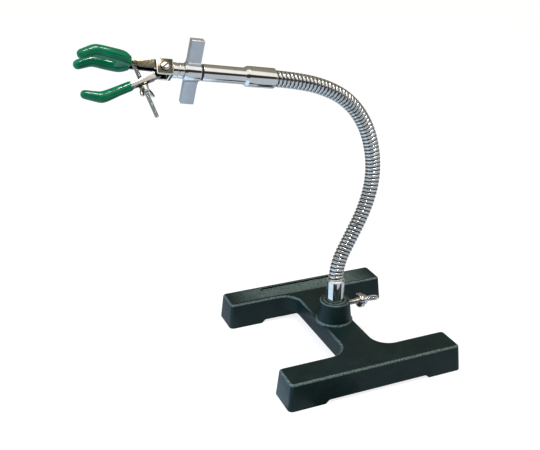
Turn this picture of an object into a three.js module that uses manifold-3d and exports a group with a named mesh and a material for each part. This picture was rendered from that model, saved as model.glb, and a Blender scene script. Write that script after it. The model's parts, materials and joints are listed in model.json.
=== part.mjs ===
// Flexible-arm laboratory stand with a three-finger clamp.
// Units are millimetres, +Z is up, and the origin is on the bench under the middle of the whole stand.
// Frames, from the bench up:
// base -> ferrule -> gooseneck links (nested) -> clamp axis -> clamp head -> moving jaw.
import * as THREE from "three";
import { mergeVertices } from "three/addons/utils/BufferGeometryUtils.js";
import Module from "manifold-3d";

const wasm = await Module();
wasm.setup();

// ---- driving dimensions ------------------------------------------------------------------------

const gap = 0.3; // clearance between pieces that touch on the real stand

// H-shaped cast base
const barLength = 200;
const barWidth = 37.9;
const barSpacing = 169.1; // between the centre lines of the two bars
const baseHeight = 29.5;
const crossbarWidth = 42.2; // at the foot of its drafted sides
const draftInset = 2.85; // how far every side leans in over the height of the casting
const edgeRound = 1.6; // rounding along the upper edges
const cornerRadius = 5; // plan rounding at the ends of the bars
const filletRadius = 17; // plan rounding where the crossbar meets the bars
const crossbarClearance = 11; // under the crossbar
const footRelief = 4; // under the middle of each bar
const footInner = 56; // from the middle of a bar to the inner end of each foot
const footSlope = 6;

// hub boss on the crossbar, and what it holds
const hubX = 79.4; // hub axis from the middle of the whole stand
const hubFootRadius = 19;
const hubTopRadius = 16.4;
const hubTop = 53.5;
const spigotRadius = 6.2;
const spigotLength = 26;
const screwHeight = 45.5;
const screwShankRadius = 3;
const collarRadius = 8.2; // round shoulder of the thumb screw

// ferrules and gooseneck
const ferruleRadius = 9.7;
const ferruleTop = 79;
const neckRadius = 8;
const neckPitch = 4.1;
const neckGroove = 0.7;
const ballRadius = 7.8;
const cupRadius = 8.6;
const linkLength = 33.6;
const neckBends = [-27, 0, 12.4, 18.4, 15.9, 20.2, 22.6, 13.8, 4.7]; // degrees towards -X at each joint

// clamp socket, tee nut and stem, as distances along the clamp axis from the end of the gooseneck
const sleeveLength = 30.6;
const socketRadius = 7.8;
const socketBore = 5.6;
const socketEnd = 71.6;
const gasketEnd = 73;
const nutEnd = 89;
const nutRadius = 8.6;
const barCentre = 81;
const teeLength = 61;
const teeWidth = 12.2;
const teeThickness = 7.5;
const teeTurn = 12; // degrees that the tee bar stands turned about the clamp axis
const stemRadius = 7;
const stemTailRadius = 5.2;
const stemTailStart = 50;
const pivotDistance = 107.6;

// clamp head, in a frame with +X along the clamp axis, +Z along the pivot screw and +Y towards the moving jaw
const jawTurn = 38; // degrees that the head is rolled from jaws opening straight down
const jawOpening = 26; // degrees between the moving jaw and the clamp axis
const blockSize = 15.5;
const blockThickness = 13;
const slotHeight = 9.2;
const slotStart = -4.2;
const spigotWidth = 3.2; // radius of the stem's spigot in the block
const spigotDepth = 2.6;
const pivotRadius = 2;
const pivotHeadRadius = 4.2;
const pivotNutRadius = 4; // to the corners of the hexagon
const flange = 1.6; // sheet thickness of the jaw channels
const channelHeight = 8.4;
const fingerRadius = 4.5;
const prongRadius = 5.1;
const fingerCore = 2.6;
const prongSpread = 9.6; // each of the two prongs from the middle plane
const studRadius = 1.95;
const studLength = 52;
const studPinRadius = 1.5;
const studPin = [26.3, -2.7];
const studSeat = [20.4, 14.2]; // where the stud crosses the moving jaw's channel
const washerThickness = 1;
const fixedCoatStart = 30.5; // where each jaw's coating begins, along the head
const movingCoatStart = 35.6;
const through = 9; // how far hole cutters reach each way from a jaw's middle plane

// ---- materials ---------------------------------------------------------------------------------

const material = (color, roughness, metalness) =>
  new THREE.MeshStandardMaterial({ color, roughness, metalness });
const enamel = material(0x1f3634, 0.45, 0.2);
const chrome = material(0xc9cac6, 0.15, 1);
const wire = material(0xb4b8ba, 0.25, 1);
const satin = material(0xa3abb3, 0.5, 0.8);
const nickel = material(0xa79f90, 0.25, 1);
const vinyl = material(0x0b8058, 0.25, 0);
const rubber = material(0x15161a, 0.7, 0);

// ---- solids ------------------------------------------------------------------------------------

const deg = THREE.MathUtils.degToRad;

function solid(geometry) {
  const bare = geometry.index ? geometry.toNonIndexed() : geometry.clone();
  bare.deleteAttribute("normal");
  bare.deleteAttribute("uv");
  const merged = mergeVertices(bare, 1e-4);
  const mesh = new wasm.Mesh({
    numProp: 3,
    vertProperties: merged.attributes.position.array,
    triVerts: new Uint32Array(merged.index.array),
  });
  return new wasm.Manifold(mesh);
}

function geometryOf(manifold) {
  const mesh = manifold.getMesh();
  const geometry = new THREE.BufferGeometry();
  geometry.setAttribute("position", new THREE.BufferAttribute(mesh.vertProperties, 3));
  geometry.setIndex(new THREE.BufferAttribute(mesh.triVerts, 1));
  geometry.computeVertexNormals();
  return geometry;
}

const join = (...geometries) => geometryOf(geometries.map(solid).reduce((a, b) => a.add(b)));
const cut = (body, ...tools) => geometryOf(tools.map(solid).reduce((a, b) => a.subtract(b), solid(body)));

// [radius, height] points swept once around +Z.
function lathe(points, segments) {
  const profile = points.map(([radius, height]) => new THREE.Vector2(radius, height));
  return new THREE.LatheGeometry(profile, segments).rotateX(Math.PI / 2);
}

// A solid of revolution about +Z from [radius, height] points, closed onto the axis at both ends.
function turned(profile, segments = 24) {
  return lathe([[0, profile[0][1]], ...profile, [0, profile.at(-1)[1]]], segments);
}

// A hollow one: its [radius, height] outline runs up the outside, down the inside and closes on itself.
function turnedRing(outline, segments = 24) {
  return lathe([...outline, outline[0]], segments);
}

const rod = (radius, from, to, segments = 16) => turned([[radius, from], [radius, to]], segments);
const block = (x0, x1, y0, y1, z0, z1) =>
  new THREE.BoxGeometry(x1 - x0, y1 - y0, z1 - z0).translate((x0 + x1) / 2, (y0 + y1) / 2, (z0 + z1) / 2);

// A flat outline extruded from z0 to z1.
function plate(points, z0, z1) {
  const shape = new THREE.Shape(points.map(([x, y]) => new THREE.Vector2(x, y)));
  return new THREE.ExtrudeGeometry(shape, { depth: z1 - z0, bevelEnabled: false }).translate(0, 0, z0);
}

// Joins same-sized horizontal outlines, each { points, z }, into one closed body.
function loft(levels) {
  const count = levels[0].points.length;
  const vertices = levels.flatMap(({ points, z }) => points.flatMap((p) => [p.x, p.y, z]));
  const faces = [];
  for (let level = 0; level < levels.length - 1; level++) {
    for (let i = 0; i < count; i++) {
      const a = level * count + i;
      const b = level * count + ((i + 1) % count);
      faces.push(a, b, b + count, a, b + count, a + count);
    }
  }
  const top = (levels.length - 1) * count;
  for (const [a, b, c] of THREE.ShapeUtils.triangulateShape(levels[0].points, [])) {
    faces.push(c, b, a, top + a, top + b, top + c);
  }
  const geometry = new THREE.BufferGeometry();
  geometry.setAttribute("position", new THREE.Float32BufferAttribute(vertices, 3));
  geometry.setIndex(faces);
  return geometry;
}

function smoothPath(points) {
  return new THREE.CatmullRomCurve3(points.map((p) => new THREE.Vector3(...p)), false, "centripetal");
}

// A round bar along a path, with ball ends.
function roundBar(points, radius, steps = 7, sides = 8) {
  const path = smoothPath(points);
  const outline = new THREE.Shape();
  outline.absarc(0, 0, radius, 0, 2 * Math.PI);
  const section = new THREE.Shape(outline.getPoints(sides).slice(0, -1));
  const bar = new THREE.ExtrudeGeometry(section, { steps, extrudePath: path, bevelEnabled: false });
  const ends = [points[0], points.at(-1)].map((p) => new THREE.SphereGeometry(radius, 8, 6).translate(...p));
  return join(bar, ...ends);
}

function part(parent, name, geometry, finish) {
  const mesh = new THREE.Mesh(geometry, finish);
  mesh.name = name;
  parent.add(mesh);
  return mesh;
}

function frame(parent, x = 0, y = 0, z = 0) {
  const group = new THREE.Group();
  group.position.set(x, y, z);
  parent.add(group);
  return group;
}

// ---- base --------------------------------------------------------------------------------------

// The H outline, moved in by `inset`; outer corners shrink and inner fillets grow with it.
function baseOutline(inset) {
  const length = barLength / 2 - inset;
  const outer = barSpacing / 2 + barWidth / 2 - inset;
  const inner = barSpacing / 2 - barWidth / 2 + inset;
  const web = crossbarWidth / 2 - inset;
  const corner = cornerRadius - inset / 2;
  const fillet = filletRadius + inset;
  const path = new THREE.Path();
  const quarter = (x, y, r, start, clockwise) =>
    path.absarc(x, y, r, start, start + (clockwise ? -Math.PI / 2 : Math.PI / 2), clockwise);
  const half = Math.PI / 2;
  quarter(length - corner, outer - corner, corner, 0, false);
  quarter(-length + corner, outer - corner, corner, half, false);
  quarter(-length + corner, inner + corner, corner, 2 * half, false);
  quarter(-web - fillet, inner - fillet, fillet, half, true);
  quarter(-web - fillet, -inner + fillet, fillet, 0, true);
  quarter(-length + corner, -inner - corner, corner, half, false);
  quarter(-length + corner, -outer + corner, corner, 2 * half, false);
  quarter(length - corner, -outer + corner, corner, 3 * half, false);
  quarter(length - corner, -inner - corner, corner, 0, false);
  quarter(web + fillet, -inner + fillet, fillet, 3 * half, true);
  quarter(web + fillet, inner - fillet, fillet, 2 * half, true);
  quarter(length - corner, inner + corner, corner, 3 * half, false);
  const steps = 4;
  return path.curves
    .filter((curve) => curve.isEllipseCurve)
    .flatMap((curve) => curve.getPoints(steps));
}

function baseCasting() {
  const level = (inset, z) => ({ points: baseOutline(inset), z });
  const shoulder = draftInset * (1 - edgeRound / baseHeight);
  const body = loft([
    level(0, 0),
    level(shoulder, baseHeight - edgeRound),
    level(shoulder + 0.3 * edgeRound, baseHeight - 0.3 * edgeRound),
    level(shoulder + edgeRound, baseHeight),
  ]);
  const boss = turned([
    [hubFootRadius + 1.5, baseHeight - 2],
    [hubFootRadius + 1.5, baseHeight + 0.6],
    [hubFootRadius, baseHeight + 2.2],
    [hubTopRadius, hubTop - 1],
    [hubTopRadius - 1, hubTop],
  ], 32);
  const bore = rod(spigotRadius + gap, hubTop - spigotLength - 1, hubTop + 1, 24);
  const screwHole = rod(screwShankRadius + gap, 0, 30, 16).rotateY(Math.PI / 2).translate(0, 0, screwHeight);
  const bay = barSpacing / 2 - barWidth / 2;
  const underCrossbar = block(-60, 60, -bay, bay, -1, crossbarClearance);
  const reach = barSpacing;
  const relief = plate([
    [-footInner - footSlope, -1],
    [footInner + footSlope, -1],
    [footInner, footRelief],
    [-footInner, footRelief],
  ], -reach, reach).rotateX(Math.PI / 2);
  return cut(join(body, boss), bore, screwHole, underCrossbar, relief);
}

// Thumb screw along +X: a plain tip and shank, a round shoulder and a flat spade grip.
function thumbScrew() {
  const tip = spigotRadius - 1.2 + gap;
  const shoulder = 29;
  const shank = turned([
    [screwShankRadius - 1, tip],
    [screwShankRadius, tip + 1.5],
    [screwShankRadius, shoulder],
    [collarRadius - 1, shoulder],
    [collarRadius, shoulder + 1],
    [collarRadius, shoulder + 5.2],
    [collarRadius - 2, shoulder + 6.4],
    [collarRadius - 2.4, shoulder + 9.5],
    [3, shoulder + 12],
  ], 20).rotateY(Math.PI / 2);
  const spade = plate([
    [shoulder + 8, -3.8],
    [shoulder + 13, -5],
    [shoulder + 18, -7.2],
    [shoulder + 23, -6],
    [shoulder + 24.5, 0],
    [shoulder + 23, 6],
    [shoulder + 18, 7.2],
    [shoulder + 13, 5],
    [shoulder + 8, 3.8],
  ], -1.9, 1.9);
  return join(shank, spade);
}

// ---- ferrules and gooseneck --------------------------------------------------------------------

function lowerFerrule() {
  const groove = 1.2;
  return turned([
    [spigotRadius - 0.8, hubTop - spigotLength],
    [spigotRadius, hubTop - spigotLength + 0.8],
    [spigotRadius, screwHeight - 5],
    [spigotRadius - groove, screwHeight - 4],
    [spigotRadius - groove, screwHeight + 4],
    [spigotRadius, screwHeight + 5],
    [spigotRadius, hubTop + gap],
    [ferruleRadius - 0.6, hubTop + gap],
    [ferruleRadius, hubTop + gap + 0.6],
    [ferruleRadius, ferruleTop - 1.4 - gap],
    [ferruleRadius - 1.4, ferruleTop - gap],
  ], 24);
}

// One stretch of the wound tube along +Z from `from` to `to`, with a ball at its far end
// and a cup at its near end.
function neckLink(from, to, hasCup, hasBall) {
  const profile = [];
  if (hasCup) {
    const rim = neckRadius - neckGroove;
    const start = Math.asin(rim / cupRadius);
    const steps = 3;
    for (let i = steps; i >= 0; i--) {
      const angle = (start * (steps - i)) / steps;
      profile.push([cupRadius * Math.sin(angle), from + cupRadius * Math.cos(angle)]);
    }
    profile.shift();
  } else {
    profile.push([neckRadius - neckGroove, from]);
  }
  const first = profile.at(-1)[1] + 0.6;
  const last = hasBall ? to - 1 : to - 0.6;
  const ridges = Math.round((last - first) / neckPitch);
  const pitch = (last - first) / ridges;
  for (let i = 0; i < ridges; i++) {
    profile.push([neckRadius, first + pitch * (i + 0.5)]);
    profile.push([neckRadius - neckGroove, first + pitch * (i + 1)]);
  }
  if (hasBall) {
    const steps = 3;
    for (let i = 0; i < steps; i++) {
      const angle = (Math.PI / 2) * (i / steps);
      profile.push([ballRadius * Math.cos(angle), to + ballRadius * Math.sin(angle)]);
    }
  }
  const apex = [0, hasBall ? to + ballRadius : to];
  const base = [0, hasCup ? from + cupRadius : from];
  return lathe([base, ...profile, apex], 14);
}

function buildNeck(ferrule) {
  const half = linkLength / 2;
  let link = frame(ferrule, 0, 0, ferruleTop);
  part(link, "gooseneck_link_01", neckLink(0, half, false, true), wire);
  link = frame(link, 0, 0, half);
  neckBends.forEach((bend, i) => {
    link.rotation.y = -deg(bend);
    const isLast = i === neckBends.length - 1;
    const length = isLast ? half : linkLength;
    const name = "gooseneck_link_" + String(i + 2).padStart(2, "0");
    part(link, name, neckLink(0, length, true, !isLast), wire);
    link = frame(link, 0, 0, length);
  });
  return link;
}

// ---- clamp socket, tee nut and stem, along +Z of the clamp axis --------------------------------

function upperFerrule() {
  return turnedRing([
    [ferruleRadius - 1.2, gap],
    [ferruleRadius, gap + 0.8],
    [ferruleRadius, sleeveLength - 3],
    [ferruleRadius - 1.9, sleeveLength],
    [4, sleeveLength],
    [4, gap],
  ]);
}

function socketTube() {
  return turnedRing([
    [socketRadius, sleeveLength + gap],
    [socketRadius, socketEnd - 0.5],
    [socketRadius - 0.5, socketEnd],
    [socketBore, socketEnd],
    [socketBore, sleeveLength + gap],
  ]);
}

function gasket() {
  return turnedRing([
    [socketRadius - 0.9, socketEnd + gap],
    [socketRadius - 0.9, gasketEnd - gap],
    [socketBore, gasketEnd - gap],
    [socketBore, socketEnd + gap],
  ]);
}

function teeCollar() {
  return turnedRing([
    [nutRadius - 1.4, gasketEnd],
    [nutRadius, gasketEnd + 1.4],
    [nutRadius, nutEnd - 2],
    [nutRadius - 1.6, nutEnd],
    [stemTailRadius + gap, nutEnd],
    [stemTailRadius + gap, gasketEnd],
  ]);
}

// One flat arm of the tee bar, standing off the collar along +X.
function teeArm() {
  const root = nutRadius - 1.5;
  const flare = 1.1; // how much wider the arm is where it meets the collar
  const half = teeThickness / 2;
  const arm = plate([
    [root, -half - flare], [nutRadius + 0.6, -half - flare], [nutRadius + 2.4, -half], [teeLength / 2, -half],
    [teeLength / 2, half], [nutRadius + 2.4, half], [nutRadius + 0.6, half + flare], [root, half + flare],
  ], -teeWidth / 2, teeWidth / 2);
  const seat = rod(nutRadius + gap, -teeWidth, teeWidth, 24);
  return cut(arm, seat);
}

// The stem runs along the head's +X: a tail inside the socket, a thicker neck, and a spigot in the block.
function clampStem() {
  const shoulder = nutEnd + gap - pivotDistance;
  const back = -blockSize / 2 - gap;
  return turned([
    [stemTailRadius - 0.8, stemTailStart - pivotDistance],
    [stemTailRadius, stemTailStart - pivotDistance + 0.8],
    [stemTailRadius, shoulder],
    [stemRadius - 0.8, shoulder],
    [stemRadius, shoulder + 0.8],
    [stemRadius, back - 0.6],
    [stemRadius - 0.6, back],
    [spigotWidth, back],
    [spigotWidth, back + spigotDepth],
  ], 24).rotateY(Math.PI / 2);
}

// The slotted block that the jaws are pinned in, with the pivot screw at its origin.
function clampBlock() {
  const half = blockSize / 2;
  const thick = blockThickness / 2;
  const bevel = 1.2;
  const outline = [
    [-half + bevel, -half], [half - bevel, -half], [half, -half + bevel], [half, half - bevel],
    [half - bevel, half], [-half + bevel, half], [-half, half - bevel], [-half, -half + bevel],
  ];
  const body = plate(outline, -thick, thick);
  const slot = block(slotStart, half + 1, -half - 1, half + 1, -slotHeight / 2, slotHeight / 2);
  const hole = rod(pivotRadius + gap, -thick - 1, thick + 1);
  const spigotHole = rod(spigotWidth + gap, -half - 1, -half + spigotDepth, 24).rotateY(Math.PI / 2);
  return cut(body, slot, hole, spigotHole);
}

function pivotScrew() {
  const thick = blockThickness / 2;
  const screw = turned([
    [pivotRadius, -thick - 4.6],
    [pivotRadius, thick + gap],
    [pivotHeadRadius, thick + gap],
    [pivotHeadRadius, thick + 1.4],
    [pivotHeadRadius - 1, thick + 2.4],
  ], 20);
  return cut(screw, block(-6, 6, -0.6, 0.6, thick + 1.4, thick + 4));
}

function pivotNut() {
  const thick = blockThickness / 2;
  const nut = rod(pivotNutRadius, -thick - 3.8, -thick - gap, 6);
  return cut(nut, rod(pivotRadius + gap, -thick - 6, -thick + 1));
}

// ---- jaws --------------------------------------------------------------------------------------

// Prongs and finger as centre-line points; `level` is the prong's side of the middle plane.
const fixedProng = (level) => [
  [29.5, -3, level * 2.4],
  [33, -3.2, level * 5.5],
  [38, -4.2, level * (prongSpread - 1)],
  [47, -5.6, level * prongSpread],
  [57, -7.3, level * prongSpread],
  [61.5, -7.4, level * prongSpread],
  [65.5, -6, level * prongSpread],
  [72.6, -2.9, level * prongSpread],
];
const movingFinger = [
  [36.5, 3.4, 0],
  [48, 3.5, 0],
  [59, 3.7, 0],
  [64, 3.2, 0],
  [68.5, 0.8, 0],
  [76, -4.1, 0],
];

// The solid plug that joins each jaw's channel to its steel cores: its limits in x and y,
// and half its height.
const fixedPlug = { x0: 29.1, x1: 33.5, y0: -6.2, y1: 0, half: channelHeight / 2 - 0.2 };
const movingPlug = { x0: 33.5, x1: 37, y0: 2, y1: 5.4, half: channelHeight / 2 - 0.3 };
const plug = ({ x0, x1, y0, y1, half }, margin = 0) =>
  block(x0 - margin, x1 + margin, y0 - margin, y1 + margin, -half - margin, half + margin);

// Two flanges and a web: `inner` and `outer` are the channel's open edge and its web face in y.
function channel(start, end, inner, outer, taper) {
  const half = channelHeight / 2;
  const side = Math.sign(outer - inner);
  const outline = [
    [start, inner],
    [end, inner + side * taper],
    [end, outer - side * taper],
    [start, outer],
  ];
  const floor = outer - side * (flange + taper / 2);
  const body = plate(side > 0 ? outline : outline.reverse(), -half, half);
  const hollow = block(
    start - 1, end + 1,
    Math.min(inner - side * through, floor),
    Math.max(inner - side * through, floor),
    -half + flange, half - flange,
  );
  return cut(body, hollow);
}

function fixedJaw() {
  const half = channelHeight / 2;
  const arm = channel(8.4, 30.2, 1.1, -7.1, 0.7);
  const ears = [-1, 1].map((side) => {
    const near = side * half;
    const far = side * (half - flange);
    return plate(
      [[-3.6, -3.2], [0, -4.2], [9, -7.1], [9, 1.1], [3.4, 3.4], [-1, 3.6], [-3.6, 1.6]],
      Math.min(near, far), Math.max(near, far),
    );
  });
  const cores = [-1, 1].map((side) => roundBar(fixedProng(side).slice(1, -1), fingerCore));
  const pivotHole = rod(pivotRadius + gap, -through, through);
  const studHole = rod(studPinRadius + gap, -through, through).translate(...studPin, 0);
  return cut(join(arm, ...ears, plug(fixedPlug), ...cores), pivotHole, studHole);
}

function fixedGrip() {
  const fingers = [-1, 1].map((side) => roundBar(fixedProng(side), prongRadius));
  const web = plate([[29.6, -5], [33.5, -7.8], [45, -9], [45, 9], [33.5, 7.8], [29.6, 5]], 0.4, 8)
    .rotateX(Math.PI / 2);
  const outer = join(...fingers, web);
  const cores = [-1, 1].map((side) => roundBar(fixedProng(side).slice(1, -1), fingerCore + gap));
  const behind = block(fixedCoatStart - 20, fixedCoatStart, -20, 20, -20, 20);
  return cut(outer, ...cores, plug(fixedPlug, gap), behind);
}

function movingJaw() {
  const half = channelHeight / 2;
  const arm = channel(11.5, 37, 1.8, 5.9, 0.3);
  const tongue = plate([
    [-3, -2.6], [1, -3.4], [8, -0.6], [13, 1.9],
    [13, 5.9], [6, 5.6], [-2, 3], [-3.4, 1],
  ], -2.2, 2.2);
  const closing = block(11.5, 13.2, 1.9, 5.8, -half, half);
  const core = roundBar(movingFinger.slice(0, -1), fingerCore);
  const slot = block(17.5, 31.5, 0, 8, -studRadius - 0.5, studRadius + 0.5);
  const pivotHole = rod(pivotRadius + gap, -through, through);
  return cut(join(arm, tongue, closing, plug(movingPlug), core), slot, pivotHole);
}

function movingGrip() {
  const outer = roundBar(movingFinger, fingerRadius);
  const core = roundBar(movingFinger.slice(0, -1), fingerCore + gap);
  const behind = block(movingCoatStart - 20, movingCoatStart, -20, 20, -20, 20);
  return cut(outer, core, plug(movingPlug, gap), behind);
}

// ---- adjusting stud, along +Y from its pin ------------------------------------------------------

function stud() {
  const eye = rod(2.3, -2.1, 2.1, 14);
  const shank = rod(studRadius, 1, studLength, 12).rotateX(-Math.PI / 2);
  return cut(join(eye, shank), rod(studPinRadius + gap, -through, through));
}

const studPinRivet = () => turned([
  [studPinRadius, -channelHeight / 2 - 0.2],
  [studPinRadius, channelHeight / 2 + gap],
  [studPinRadius + 0.9, channelHeight / 2 + gap],
  [studPinRadius + 0.4, channelHeight / 2 + 1],
]);

function studWasher(seat) {
  const bore = rod(studRadius + gap, seat - 1, seat + washerThickness + 1);
  const ring = cut(rod(4.4, seat, seat + washerThickness, 20), bore);
  return ring.rotateX(-Math.PI / 2);
}

function wingNut(seat) {
  const hub = turned([[4.2, seat], [3.6, seat + 4.4], [3.1, seat + 5]], 16);
  const wing = plate([
    [2, seat + 1.2], [4.5, seat + 1.6], [8.6, seat + 6], [9.4, seat + 9.2],
    [8, seat + 10.6], [6.2, seat + 9], [2, seat + 4.2],
  ], -1.1, 1.1).rotateX(Math.PI / 2);
  const other = wing.clone().rotateZ(Math.PI);
  const nut = cut(join(hub, wing, other), rod(studRadius + gap, seat - 1, seat + 20));
  return nut.rotateX(-Math.PI / 2);
}

// ---- assembly ----------------------------------------------------------------------------------

const stand = new THREE.Group();
const base = frame(stand, hubX);
part(base, "base_casting", baseCasting(), enamel);
const screwFrame = frame(base, 0, 0, screwHeight);
screwFrame.rotation.x = deg(-16);
part(screwFrame, "base_thumb_screw", thumbScrew(), chrome);

part(base, "lower_ferrule", lowerFerrule(), chrome);
const clampAxis = buildNeck(base);
part(clampAxis, "upper_ferrule", upperFerrule(), chrome);
part(clampAxis, "socket_tube", socketTube(), chrome);
part(clampAxis, "socket_gasket", gasket(), rubber);

part(clampAxis, "tee_collar", teeCollar(), chrome);
const tee = frame(clampAxis, 0, 0, barCentre);
tee.rotation.z = -deg(teeTurn);
part(tee, "tee_arm_upper", teeArm(), satin);
part(tee, "tee_arm_lower", teeArm().rotateZ(Math.PI), satin);

const headAxis = frame(clampAxis, 0, 0, pivotDistance);
headAxis.rotation.y = -Math.PI / 2;
const head = frame(headAxis);
head.rotation.x = Math.PI / 2 + deg(jawTurn);
part(head, "clamp_stem", clampStem(), chrome);
part(head, "clamp_block", clampBlock(), nickel);
part(head, "pivot_screw", pivotScrew(), nickel);
part(head, "pivot_nut", pivotNut(), nickel);
part(head, "fixed_jaw", fixedJaw(), nickel);
part(head, "fixed_jaw_grip", fixedGrip(), vinyl);

const movingFrame = frame(head);
movingFrame.rotation.z = deg(jawOpening);
part(movingFrame, "moving_jaw", movingJaw(), nickel);
part(movingFrame, "moving_jaw_grip", movingGrip(), vinyl);

const studFrame = frame(head, studPin[0], studPin[1]);
studFrame.rotation.z = Math.atan2(studPin[0] - studSeat[0], studSeat[1] - studPin[1]);
const seat = Math.hypot(studSeat[0] - studPin[0], studSeat[1] - studPin[1]) + 3.2;
part(studFrame, "stud_pin", studPinRivet(), nickel);
part(studFrame, "adjusting_stud", stud(), nickel);
part(studFrame, "stud_washer", studWasher(seat), nickel);
const nutFrame = frame(studFrame);
nutFrame.rotation.y = deg(-35);
part(nutFrame, "wing_nut", wingNut(seat + washerThickness + gap), nickel);

export default stand;
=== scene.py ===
"""Looks of the flexible-arm stand: base, gooseneck, socket, tee nut and three-finger clamp.

Every piece but the gooseneck is made in millimetres in a local frame, then placed by a matrix that comes
from the CAD joints. The gooseneck is made in place, in metres, along the line of its joints.
"""
import json
import math

import bmesh
import bpy
from mathutils import Matrix, Vector


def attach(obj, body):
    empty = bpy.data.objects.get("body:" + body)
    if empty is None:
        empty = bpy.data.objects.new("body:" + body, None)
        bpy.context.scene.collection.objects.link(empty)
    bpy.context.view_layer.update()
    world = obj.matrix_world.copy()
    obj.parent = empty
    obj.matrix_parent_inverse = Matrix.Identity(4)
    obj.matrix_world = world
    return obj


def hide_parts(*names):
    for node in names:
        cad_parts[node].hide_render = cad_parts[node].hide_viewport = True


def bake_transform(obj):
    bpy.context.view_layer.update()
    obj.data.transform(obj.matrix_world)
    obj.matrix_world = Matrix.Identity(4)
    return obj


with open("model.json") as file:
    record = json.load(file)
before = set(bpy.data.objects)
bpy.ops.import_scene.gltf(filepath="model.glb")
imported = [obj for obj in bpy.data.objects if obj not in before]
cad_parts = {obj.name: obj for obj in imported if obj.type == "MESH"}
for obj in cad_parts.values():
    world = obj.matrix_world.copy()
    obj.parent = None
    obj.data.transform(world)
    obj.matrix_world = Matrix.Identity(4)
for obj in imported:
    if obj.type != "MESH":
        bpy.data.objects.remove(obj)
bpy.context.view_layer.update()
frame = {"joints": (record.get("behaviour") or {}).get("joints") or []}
joints = {joint["name"]: joint for joint in frame["joints"]}

MM = 0.001

# ---- driving dimensions, in millimetres ----------------------------------------------------------

# base
BAR_LENGTH = 200
BAR_WIDTH = 37.9
BAR_SPACING = 169.1
BASE_HEIGHT = 29.5
CROSSBAR_WIDTH = 42.2
DRAFT_INSET = 2.85
EDGE_ROUND = 3
CORNER_RADIUS = 5
FILLET_RADIUS = 17
CROSSBAR_CLEARANCE = 11
FOOT_RELIEF = 4
FOOT_INNER = 56
FOOT_SLOPE = 6
HUB_FOOT_RADIUS = 19
HUB_TOP_RADIUS = 16.4
HUB_TOP = 53.5
BORE_RADIUS = 10.6
PANEL_LENGTH = 108
PANEL_WIDTH = 22
PANEL_DEPTH = 1.8

# arm
FERRULE_RADIUS = 9.7
FERRULE_TOP = 79
NECK_RADIUS = 8
NECK_PITCH = 4.1
WIRE_SHARE = 0.7  # of each turn; the rest is the narrow wedge wire between
WEDGE_RISE = 0.3  # of the groove's depth that the wedge wire comes up
GROOVE_DEPTH = 1.5
RIDGE_STEPS = 10  # rings of points a turn of the winding
NECK_SIDES = 56
SCREW_HEIGHT = 45.5
SCREW_TURN = -16
SHOULDER = 29
COLLAR_RADIUS = 8.2
SPADE_HALF = 1.8

# clamp, along its axis from the end of the gooseneck
SLEEVE_LENGTH = 30.6
SOCKET_RADIUS = 7.8
SOCKET_BORE = 5.6
SOCKET_END = 71.6
GASKET_END = 73
NUT_END = 89
NUT_RADIUS = 8.6
BAR_CENTRE = 81
TEE_LENGTH = 61
TEE_WIDTH = 12.2
TEE_THICKNESS = 7.5
TEE_TURN = 12
TEE_FLARE = 1.1
STEM_RADIUS = 7
STEM_TAIL_RADIUS = 5.2
PIVOT_DISTANCE = 107.6

# clamp head, with +X along the clamp axis, +Z along the pivot screw and +Y towards the moving jaw
JAW_OPENING = 26
BLOCK_SIZE = 15.5
BLOCK_THICKNESS = 13
SLOT_HEIGHT = 9.2
SLOT_START = -4.2
PIVOT_RADIUS = 2
FLANGE = 1.6
CHANNEL_HEIGHT = 8.4
PRONG_SPREAD = 9.6
STUD_RADIUS = 1.95
STUD_LENGTH = 52
STUD_PIN = (26.3, -2.7)
STUD_SEAT = (20.4, 14.2)
STUD_EYE_RADIUS = 2.3
NUT_TURN = -35
HEAD_TURN = 40  # of the pivot screw's slot
TONGUE_HALF = 2.2
MOVING_FINGER = [(36.5, 3.4, 0), (48, 3.5, 0), (59, 3.7, 0), (64, 3.2, 0), (68.5, 0.8, 0), (76, -4.1, 0)]
FINGER_RADII = (4.4, 4.5, 4.9, 5.1, 4.6, 3.9)  # at each point of the finger's centre line
PRONG_RADII = (4.0, 4.7, 5.5, 5.3, 5.2, 5.2, 4.9, 4.3)
COAT_VOXEL = 0.42

# ---- places, from the frame ----------------------------------------------------------------------


def axes_matrix(origin, x, y, z):
    """Millimetres in the local frame to metres in the row frame."""
    rotation = Matrix((x, y, z)).transposed().to_4x4()
    return Matrix.Translation(origin) @ rotation @ Matrix.Scale(MM, 4)


def turn(degrees, axis):
    return Matrix.Rotation(math.radians(degrees), 4, axis)


X, Y, Z = Vector((1, 0, 0)), Vector((0, 1, 0)), Vector((0, 0, 1))
hub_x = joints["post_swivel"]["pos_m"][0]
HUB = axes_matrix(Vector((hub_x, 0, 0)), X, Y, Z)
SCREW = HUB @ Matrix.Translation((0, 0, SCREW_HEIGHT)) @ turn(SCREW_TURN, "X")

clamp_direction = Vector(joints["tee_nut_turn"]["axis"]).normalized()
neck_end = Vector(joints["tee_nut_turn"]["pos_m"]) - clamp_direction * BAR_CENTRE * MM
CLAMP = axes_matrix(neck_end, Y.cross(clamp_direction), Y, clamp_direction)
TEE = CLAMP @ Matrix.Translation((0, 0, BAR_CENTRE)) @ turn(-TEE_TURN, "Z")

pivot_axis = Vector(joints["jaw_swing"]["axis"]).normalized()
pivot = Vector(joints["jaw_swing"]["pos_m"])
HEAD = axes_matrix(pivot, clamp_direction, pivot_axis.cross(clamp_direction), pivot_axis)
MOVING = HEAD @ turn(JAW_OPENING, "Z")
stud_lean = math.degrees(math.atan2(STUD_PIN[0] - STUD_SEAT[0], STUD_SEAT[1] - STUD_PIN[1]))
STUD = HEAD @ Matrix.Translation((*STUD_PIN, 0)) @ turn(stud_lean, "Z")
WING = STUD @ turn(NUT_TURN, "Y")
seat = math.hypot(STUD_SEAT[0] - STUD_PIN[0], STUD_SEAT[1] - STUD_PIN[1]) + 3.2

# ---- mesh helpers --------------------------------------------------------------------------------


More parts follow.
